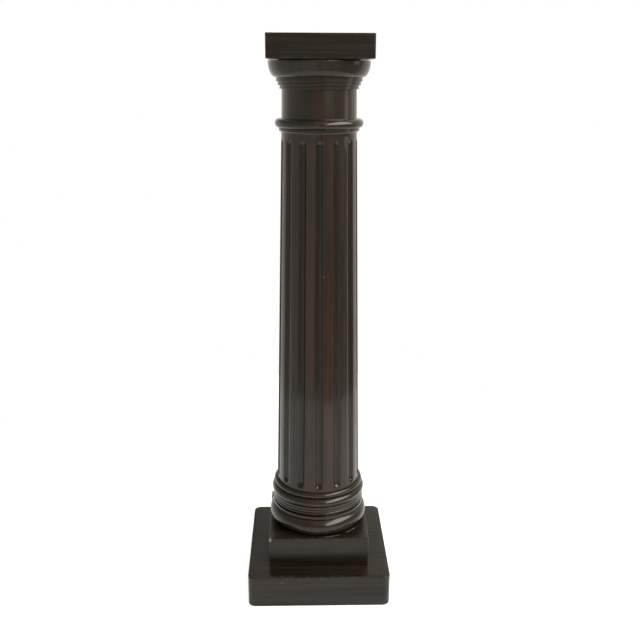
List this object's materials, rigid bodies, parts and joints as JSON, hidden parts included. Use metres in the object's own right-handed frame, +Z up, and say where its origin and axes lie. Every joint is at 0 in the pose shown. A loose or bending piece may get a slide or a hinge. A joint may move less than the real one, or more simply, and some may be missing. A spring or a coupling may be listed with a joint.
{
  "type": "column pedestal",
  "caption": "Slim fluted wooden column on stepped square plinths, with a turned base and capital under a square top that holds a plant, bust or lamp.",
  "frame": {"origin": "centre of the underside, on the column's upright axis, at floor level", "axes": "+Z up along the column, -Y the front shown in the picture, X and Y square to the sides of the plinths and the top block"},
  "size_m": [0.238, 0.238, 0.914],
  "materials": {
    "stained_wood": "very dark reddish-brown stain under satin-gloss lacquer, lightly rubbed at the edges"
  },
  "bodies": {
    "root": {"lower_plinth": "stained_wood", "upper_plinth": "stained_wood", "base_moulding": "stained_wood", "fluted_shaft": "stained_wood", "capital": "stained_wood", "abacus": "stained_wood"}
  },
  "joints": []
}
